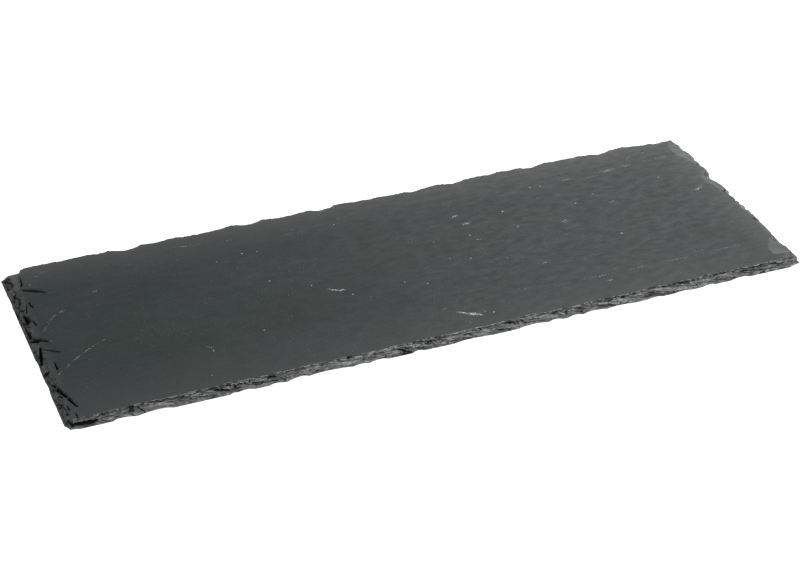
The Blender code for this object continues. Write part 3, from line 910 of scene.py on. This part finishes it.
def dress(blank, walls):
    """Moves every point of the blank to its place on the dressed stone, and notes what the finish needs."""
    count = len(blank.data.vertices)
    x, y, z = numbers_of(blank.data.vertices, "co", 3).T / MM
    level = np.round((THICKNESS - z) / (THICKNESS / FOOT)).astype(int)
    from_side = {"front": y + RIM_Y, "back": RIM_Y - y, "left": x + RIM_X, "right": RIM_X - x}
    along = {"front": x, "back": x, "left": y, "right": y}
    inside = np.min(list(from_side.values()), axis=0)

    pull = {side: pulled_in(wall, along[side], from_side[side], level) for side, wall in walls.items()}
    new_x = x + pull["left"] - pull["right"]
    new_y = y + pull["front"] - pull["back"]
    nearest = np.argmin([from_side[side] for side in walls], axis=0)
    hollow, tone, edge, grain, side_wear_and_light = np.zeros((5, count))
    for index, (side, wall) in enumerate(walls.items()):
        mine = nearest == index
        lower = mine & ((level > 0) | (inside < WALL_PITCH / 2))
        hollow[lower] = read_rows(wall, wall.hollows, along[side], level)[lower]
        edge[lower] = read_rows(wall, wall.edges, along[side], level)[lower]
        tone[mine] = read_rows(wall, wall.tones, along[side], level)[mine]
        # the side's tone, partly painted light, also scales the pale wear of its proud edges
        grain[mine], side_wear_and_light[mine] = SIDE_GRAIN[side], side_tone(side, along[side][mine])

    fall, painted_shade, fresh = split_upper_face(new_x, new_y)
    relief = stretched_noise(new_x, new_y, UPPER_RELIEF, UPPER_SLICE)
    share_up = 1.0 - level / FOOT
    new_z = (THICKNESS - UPPER_SINK + relief - fall) * share_up
    below = (level == FOOT) & (inside > ON_RIM)
    under = stretched_noise(new_x, new_y, UNDER_RELIEF, UNDER_SLICE)
    new_z = np.where(below, np.maximum(under, 0.0) * np.clip(inside / UNDER_RISE, 0, 1), new_z)
    blank.data.vertices.foreach_set("co", np.stack([new_x, new_y, new_z], 1).ravel() * MM)
    blank.data.update()

    in_wall = (level > 0) & ~below
    broken = np.where(in_wall, 1.0, np.clip(1.0 - inside / (WALL_PITCH * BROKEN_ONTO), 0.0, 1.0))
    dust_and_sheen = [strength * (1.0 - from_side[side] / reach) for side, (reach, strength) in RIM_DUST_AND_SHEEN.items()]
    notes = {
        "broken": broken,
        "fresh": fresh * (level < FOOT),
        # painted shade in crevices, seams and fissures
        "hollow": np.maximum(hollow, painted_shade * share_up ** FISSURE_DOWN),
        "tone": tone,
        "edge": edge,
        "upper": level == 0,
        # dust and painted sheen towards the rim
        "rimward": np.maximum(np.max(dust_and_sheen, axis=0), 0.0),
    }
    for name, values in notes.items():
        add_attribute(blank, name, values)
    return np.where(level == FOOT, 0.0, broken * grain), side_wear_and_light


def add_attribute(piece, name, values):
    layer = piece.data.attributes.new(name, "FLOAT", "POINT")
    layer.data.foreach_set("value", np.asarray(values, np.float32))


def numbers_of(items, name, width, kind=float):
    """One property of every item, as rows of so many numbers."""
    found = np.empty(len(items) * width, kind)
    items.foreach_get(name, found)
    return found.reshape(-1, width)


def roughen(stone, rough):
    """Breaks up the dressed wall with fine grain, stood off along the surface."""
    group = stone.vertex_groups.new(name="rough")
    steps = np.round(rough * GRAIN_STEPS).astype(int)
    for step in range(1, GRAIN_STEPS + 1):
        group.add(np.flatnonzero(steps == step).tolist(), step / GRAIN_STEPS, "REPLACE")
    for size, height in GRAIN:
        grain = bpy.data.textures.new("grain", "CLOUDS")
        grain.noise_scale = size * MM
        push = stone.modifiers.new("grain", "DISPLACE")
        push.texture = grain
        push.texture_coords = "LOCAL"
        push.vertex_group = "rough"
        push.strength = 2 * height * MM
        select_only(stone)
        bpy.ops.object.modifier_apply(modifier=push.name)
    stone.vertex_groups.clear()


def mark_edges(stone, side_wear_and_light):
    """Notes how far the surface bends at every point: proud edges wear pale, and inner corners get painted
    shade.
    """
    points = numbers_of(stone.data.vertices, "co", 3)
    normals = numbers_of(stone.data.vertex_normals, "vector", 3)
    starts, ends = numbers_of(stone.data.edges, "vertices", 2, int).T
    line = points[ends] - points[starts]
    length = np.maximum(np.linalg.norm(line, axis=1), SHORTEST)
    rise, count = np.zeros((2, len(points)))
    for near, far_line in ((starts, line), (ends, -line)):
        np.add.at(rise, near, np.einsum("ij,ij->i", normals[near], far_line) / length)
        np.add.at(count, near, 1)
    bend = BEND_STRENGTH * rise / np.maximum(count, 1)
    add_attribute(stone, "proud", side_wear_and_light * np.clip(-bend, 0.0, 1.0))
    # painted shade in inner corners
    add_attribute(stone, "sunk", np.clip(bend, 0.0, 1.0))


# ---- materials ----


def new_material(name):
    material = bpy.data.materials.new(name)
    material.use_nodes = True
    return material.node_tree, material, material.node_tree.nodes["Principled BSDF"]


def plug(tree, value, socket):
    """Links a node's output to a socket, or sets the socket to a plain value."""
    if isinstance(value, bpy.types.NodeSocket):
        tree.links.new(value, socket)
    else:
        socket.default_value = value


def arithmetic(tree, operation, first, second=0.0, clamp=False):
    node = tree.nodes.new("ShaderNodeMath")
    node.operation = operation
    node.use_clamp = clamp
    plug(tree, first, node.inputs[0])
    plug(tree, second, node.inputs[1])
    return node.outputs[0]


def stretch(tree, value, low, high, new_low=0.0, new_high=1.0):
    """Takes low..high to new_low..new_high, and holds the ends."""
    node = tree.nodes.new("ShaderNodeMapRange")
    for place, amount in zip(range(5), (value, low, high, new_low, new_high)):
        plug(tree, amount, node.inputs[place])
    return node.outputs[0]


def blend(tree, share, first, second):
    node = tree.nodes.new("ShaderNodeMix")
    node.data_type = "RGBA"
    plug(tree, share, node.inputs[0])
    plug(tree, first, node.inputs[6])
    plug(tree, second, node.inputs[7])
    return node.outputs[2]


def shade(tree, colour, brightness):
    """The colour, made darker or lighter by a number."""
    node = tree.nodes.new("ShaderNodeVectorMath")
    node.operation = "SCALE"
    plug(tree, colour, node.inputs[0])
    plug(tree, brightness, node.inputs["Scale"])
    return node.outputs[0]


def scaled(tree, vector, scale):
    node = tree.nodes.new("ShaderNodeMapping")
    plug(tree, vector, node.inputs["Vector"])
    node.inputs["Scale"].default_value = scale
    return node.outputs[0]


def lumps(tree, vector, pattern):
    """The pattern's noise, from 0 to 1, unstretched."""
    node = tree.nodes.new("ShaderNodeTexNoise")
    plug(tree, scaled(tree, vector, tuple(1 / length for length in pattern.size)), node.inputs["Vector"])
    node.inputs["Scale"].default_value = 1.0
    node.inputs["Detail"].default_value = pattern.detail
    node.inputs["Roughness"].default_value = pattern.roughness
    return node.outputs["Fac"]


def stretched_lumps(tree, vector, pattern):
    return stretch(tree, lumps(tree, vector, pattern), pattern.low, pattern.high, pattern.start, pattern.end)


def attribute(tree, name):
    node = tree.nodes.new("ShaderNodeAttribute")
    node.attribute_name = name
    return node.outputs["Fac"]


def millimetres(tree):
    """The place of each point on the stone, in millimetres."""
    coordinates = tree.nodes.new("ShaderNodeTexCoord")
    return scaled(tree, coordinates.outputs["Object"], (1 / MM, 1 / MM, 1 / MM))


def wavering(tree, vector, size, amount):
    """The place, moved about a little, so that what is drawn with it gets a ragged outline."""
    wander = tree.nodes.new("ShaderNodeTexNoise")
    plug(tree, vector, wander.inputs["Vector"])
    wander.inputs["Scale"].default_value = 1 / size
    wander.inputs["Detail"].default_value = 2.0
    centred = tree.nodes.new("ShaderNodeVectorMath")
    centred.operation = "SUBTRACT"
    plug(tree, wander.outputs["Color"], centred.inputs[0])
    centred.inputs[1].default_value = (0.5, 0.5, 0.5)
    moved = tree.nodes.new("ShaderNodeVectorMath")
    moved.operation = "MULTIPLY_ADD"
    plug(tree, centred.outputs[0], moved.inputs[0])
    moved.inputs[1].default_value = (amount, amount, 0.0)
    plug(tree, vector, moved.inputs[2])
    return moved.outputs[0]


def drawn_dot(tree, vector, dot):
    """A small round mark on the upper face that fades from its middle outwards."""
    distance = tree.nodes.new("ShaderNodeVectorMath")
    distance.operation = "DISTANCE"
    plug(tree, vector, distance.inputs[0])
    distance.inputs[1].default_value = (dot.x, dot.y, 0.0)
    edge, core = MARK_EDGE * dot.radius, MARK_CORE * dot.radius
    return stretch(tree, distance.outputs["Value"], edge, core, 0.0, dot.strength)


def drawn_mark(tree, vector, mark):
    """An ellipse on the upper face that fades from its middle outwards."""
    placed = tree.nodes.new("ShaderNodeMapping")
    placed.vector_type = "TEXTURE"
    plug(tree, vector, placed.inputs["Vector"])
    placed.inputs["Location"].default_value = (mark.x, mark.y, 0.0)
    placed.inputs["Rotation"].default_value = (0.0, 0.0, math.radians(mark.turn))
    placed.inputs["Scale"].default_value = (mark.long, mark.wide, 1.0)
    distance = tree.nodes.new("ShaderNodeVectorMath")
    distance.operation = "LENGTH"
    plug(tree, placed.outputs[0], distance.inputs[0])
    return stretch(tree, distance.outputs["Value"], MARK_EDGE, MARK_CORE, 0.0, mark.strength)


def pale_marks(tree, place):
    """The scratches, dots and chalky rubbings as one mask, made of fine grains that crowd where a mark is."""
    flat = scaled(tree, wavering(tree, place, MARK_WAVER_SIZE, MARK_WAVER), (1.0, 1.0, 0.0))
    whole = 0.0
    for mark in MARKS:
        whole = arithmetic(tree, "MAXIMUM", whole, drawn_mark(tree, flat, mark))
    for dot in DOTS:
        whole = arithmetic(tree, "MAXIMUM", whole, drawn_dot(tree, flat, dot))
    whole = arithmetic(tree, "MAXIMUM", whole, stretched_lumps(tree, place, STREWN_CHALK))
    whole = arithmetic(tree, "MULTIPLY", whole, stretched_lumps(tree, place, MARK_PATCHES))
    grains = lumps(tree, place, CHALK_GRAINS)
    crowded = arithmetic(tree, "ADD", grains, arithmetic(tree, "MULTIPLY", whole, CHALK_CROWDING))
    return arithmetic(tree, "MULTIPLY", stretch(tree, crowded, *CHALK_SHOWS), attribute(tree, "upper"))


def chance_specks(tree, place, specks):
    node = tree.nodes.new("ShaderNodeTexVoronoi")
    moved = tree.nodes.new("ShaderNodeMapping")
    plug(tree, place, moved.inputs["Vector"])
    moved.inputs["Location"].default_value = (specks.shift, specks.shift, 0.0)
    moved.inputs["Scale"].default_value = (1 / specks.pitch, 1 / specks.pitch, 1 / specks.pitch)
    plug(tree, moved.outputs[0], node.inputs["Vector"])
    node.inputs["Scale"].default_value = 1.0
    radius = specks.radius / specks.pitch
    dot = stretch(tree, node.outputs["Distance"], radius, SPECK_CORE * radius)
    apart = tree.nodes.new("ShaderNodeSeparateColor")
    plug(tree, node.outputs["Color"], apart.inputs[0])
    kept = arithmetic(tree, "LESS_THAN", apart.outputs[0], specks.share)
    return arithmetic(tree, "MULTIPLY", dot, kept)


def rim_dust_and_sheen(tree):
    """How much dust and painted sheen each point gets: a little for a long way in, and more close to the rim.
    """
    rimward = attribute(tree, "rimward")
    even = arithmetic(tree, "MULTIPLY", rimward, DUST_SHEEN_EVEN)
    close = arithmetic(tree, "MULTIPLY", arithmetic(tree, "POWER", rimward, DUST_SHEEN_CURVE), DUST_SHEEN_CLOSE)
    return arithmetic(tree, "ADD", even, close, clamp=True)


def upper_colour(tree, place):
    """The riven face: greenish, bluish and purplish greys in long soft clouds, with the stone's lineation."""
    cloud = lumps(tree, place, CLOUDS)
    colour = blend(tree, stretch(tree, cloud, *BLUE_CLOUDS), SLATE_GREEN, SLATE_BLUE)
    colour = blend(tree, stretch(tree, cloud, *PURPLE_CLOUDS), colour, SLATE_PURPLE)
    shades = [stretched_lumps(tree, place, pattern) for pattern in UPPER_SHADES]
    for part in shades:
        colour = shade(tree, colour, part)
    # dust and painted sheen, paler towards the rim
    colour = blend(tree, rim_dust_and_sheen(tree), colour, DUST_AND_SHEEN_GREY)
    pale = chance_specks(tree, place, PALE_SPECKS)
    faint = chance_specks(tree, place, FAINT_SPECKS)
    thick = stretched_lumps(tree, place, FAINT_STRENGTH)
    pale = arithmetic(tree, "MULTIPLY", pale, PALE_STRENGTH)
    faint = arithmetic(tree, "MULTIPLY", faint, thick)
    return blend(tree, arithmetic(tree, "ADD", pale, faint), colour, CHALK)


def drawn_line(tree, value, line):
    off = arithmetic(tree, "SUBTRACT", value, line.value)
    return stretch(tree, arithmetic(tree, "ABSOLUTE", off), line.full, line.gone, line.strength, 0.0)


def leaf_ends(tree, place):
    """Thin dark gaps along the bedding painted as shade, with a pale lip over each that is part wear and part
    painted highlight, both broken up.
    """
    leaves = lumps(tree, place, LEAVES)
    here = stretched_lumps(tree, place, LEAVES_HERE)
    gap = drawn_line(tree, leaves, LEAF_GAP)
    lip = drawn_line(tree, leaves, LEAF_LIP)
    return arithmetic(tree, "MULTIPLY", gap, here), arithmetic(tree, "MULTIPLY", lip, here)


def broken_colour(tree, place):
    """Broken leaf ends: each flake has its own tone, streaked along the bedding and flecked, with painted
    shade in the gaps between leaves and pale lips that are partly painted highlight.
    """
    bedding = lumps(tree, place, BEDDING)
    streaks = arithmetic(tree, "MULTIPLY", bedding, BEDDING_SHARE)
    tone = arithmetic(tree, "ADD", attribute(tree, "tone"), streaks)
    colour = blend(tree, stretch(tree, tone, *BROKEN_TONES), BROKEN_DARK, BROKEN_PALE)
    colour = shade(tree, colour, stretched_lumps(tree, place, BROKEN_GRAIN))
    gap, lip = leaf_ends(tree, place)
    flecks = stretched_lumps(tree, place, FLECKS)
    # pale flecks, and lips that are partly painted highlight
    pale = arithmetic(tree, "MULTIPLY", arithmetic(tree, "MAXIMUM", flecks, lip), attribute(tree, "tone"))
    colour = blend(tree, pale, colour, WEAR_AND_HIGHLIGHT_GREY)
    # painted shade in the gaps between leaves
    return blend(tree, gap, colour, SHADE_BLACK)


def slate_finish():
    tree, material, shader = new_material("riven_slate")
    place = millimetres(tree)
    chalk = pale_marks(tree, place)
    broken = attribute(tree, "broken")
    face = blend(tree, chalk, upper_colour(tree, place), CHALK)
    face = blend(tree, attribute(tree, "fresh"), face, FRESH_GREY)
    colour = blend(tree, broken, face, broken_colour(tree, place))

    # Pale wear on proud edges and the wall's upper edge, and painted highlight on the ledges of the flakes.
    patchy = stretched_lumps(tree, place, WORN_HERE)
    proud = stretch(tree, attribute(tree, "proud"), *PROUD_SHOWS)
    wear_and_highlight = arithmetic(tree, "MULTIPLY", arithmetic(tree, "MAXIMUM", proud, attribute(tree, "edge")), patchy)
    colour = blend(tree, wear_and_highlight, colour, WEAR_AND_HIGHLIGHT_GREY)
    # Painted shade: inner corners, crevices, seams and fissures are darkened towards black.
    sunk = stretch(tree, attribute(tree, "sunk"), *SUNK_SHOWS)
    colour = blend(tree, sunk, colour, SHADE_BLACK)
    painted_shade = stretch(tree, attribute(tree, "hollow"), *HOLLOW_SHOWS)
    colour = blend(tree, painted_shade, colour, SHADE_BLACK)
    plug(tree, colour, shader.inputs["Base Color"])

    gloss = stretched_lumps(tree, place, UPPER_GLOSS)
    rough = arithmetic(tree, "MAXIMUM", gloss, stretch(tree, broken, 0.0, 1.0, 0.0, BROKEN_ROUGH))
    rough = arithmetic(tree, "MAXIMUM", rough, arithmetic(tree, "MULTIPLY", chalk, CHALK_ROUGH))
    rough = arithmetic(tree, "MAXIMUM", rough, painted_shade)
    plug(tree, rough, shader.inputs["Roughness"])
    shader.inputs["Specular IOR Level"].default_value = STONE_SPECULAR

    lines = arithmetic(tree, "MULTIPLY", lumps(tree, place, BUMP_LINES), BUMP_HALF)
    grain = arithmetic(tree, "MULTIPLY", lumps(tree, place, BUMP_GRAIN), BUMP_HALF)
    height = arithmetic(tree, "ADD", lines, grain)
    bump = tree.nodes.new("ShaderNodeBump")
    bump.inputs["Distance"].default_value = BUMP_DEPTH
    bump.inputs["Strength"].default_value = BUMP_STRENGTH
    plug(tree, height, bump.inputs["Height"])
    plug(tree, bump.outputs[0], shader.inputs["Normal"])
    return material


# ---- the table, the light and the camera: sizes and distances in metres ----

TABLE_HALF = 6.0
TABLE_BELOW = 0.0001  # the table lies this far under the stone
WHITE = (1.0, 1.0, 1.0, 1.0)
TABLE_WHITE = (0.9, 0.9, 0.9, 1.0)
TABLE_GLOW = 0.55  # the table shines a little, so that it stays pale and even
TABLE_ROUGH, TABLE_SPECULAR = 0.8, 0.2
WORLD_STRENGTH = 0.92
KEY_FROM = (0.6, 0.84, 0.42)  # the direction that the lamp shines from
KEY_DISTANCE, KEY_SIZE, KEY_POWER = 2.0, 1.0, 15
VIEW_TARGET = Vector((-0.00697, -0.01269, 0.0))
VIEW_AZIMUTH, VIEW_ELEVATION = math.radians(-21.751), math.radians(32.849)
VIEW_DISTANCE = 1.0829
VIEW_LENS = 93.10


def table_finish():
    _, material, shader = new_material("pale_table")
    shader.inputs["Base Color"].default_value = TABLE_WHITE
    shader.inputs["Emission Color"].default_value = WHITE
    shader.inputs["Emission Strength"].default_value = TABLE_GLOW
    shader.inputs["Roughness"].default_value = TABLE_ROUGH
    shader.inputs["Specular IOR Level"].default_value = TABLE_SPECULAR
    return material


def pale_table():
    deselect_all()
    bpy.ops.mesh.primitive_plane_add(size=2 * TABLE_HALF, location=(0, 0, -TABLE_BELOW))
    table = bpy.context.active_object
    table.name = "table"
    table.data.materials.append(table_finish())


def soft_light(name, direction, distance, size, power):
    """A square lamp that faces the slab from the given direction."""
    lamp = bpy.data.lights.new(name, "AREA")
    lamp.size = size
    lamp.energy = power
    holder = bpy.data.objects.new(name, lamp)
    holder.location = Vector(direction).normalized() * distance
    holder.rotation_euler = Vector(direction).to_track_quat("Z", "Y").to_euler()
    bpy.context.scene.collection.objects.link(holder)


def studio():
    world = bpy.data.worlds.new("studio")
    world.use_nodes = True
    world.node_tree.nodes["Background"].inputs["Color"].default_value = WHITE
    world.node_tree.nodes["Background"].inputs["Strength"].default_value = WORLD_STRENGTH
    bpy.context.scene.world = world
    soft_light("key_back_right", KEY_FROM, KEY_DISTANCE, KEY_SIZE, KEY_POWER)
    bpy.context.scene.view_settings.view_transform = "Standard"


def camera():
    lens = bpy.data.cameras.new("view")
    lens.lens = VIEW_LENS
    holder = bpy.data.objects.new("view", lens)
    back = Vector((math.sin(VIEW_AZIMUTH) * math.cos(VIEW_ELEVATION),
                   -math.cos(VIEW_AZIMUTH) * math.cos(VIEW_ELEVATION), math.sin(VIEW_ELEVATION)))
    holder.location = VIEW_TARGET + back * VIEW_DISTANCE
    holder.rotation_euler = (math.pi / 2 - VIEW_ELEVATION, 0, VIEW_AZIMUTH)
    bpy.context.scene.collection.objects.link(holder)
    bpy.context.scene.camera = holder


def slate_stone():
    stone = sawn_blank()
    rough, side_wear_and_light = dress(stone, {side: dressed_wall(side, seed) for side, seed in WALL_SEEDS.items()})
    roughen(stone, rough)
    mark_edges(stone, side_wear_and_light)
    stone.data.materials.append(slate_finish())
    select_only(stone)
    bpy.ops.object.shade_smooth_by_angle(angle=SHARP_ANGLE)
    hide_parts("slate_slab")
    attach(stone, "root")
    return stone


slate_stone()
pale_table()
studio()
camera()
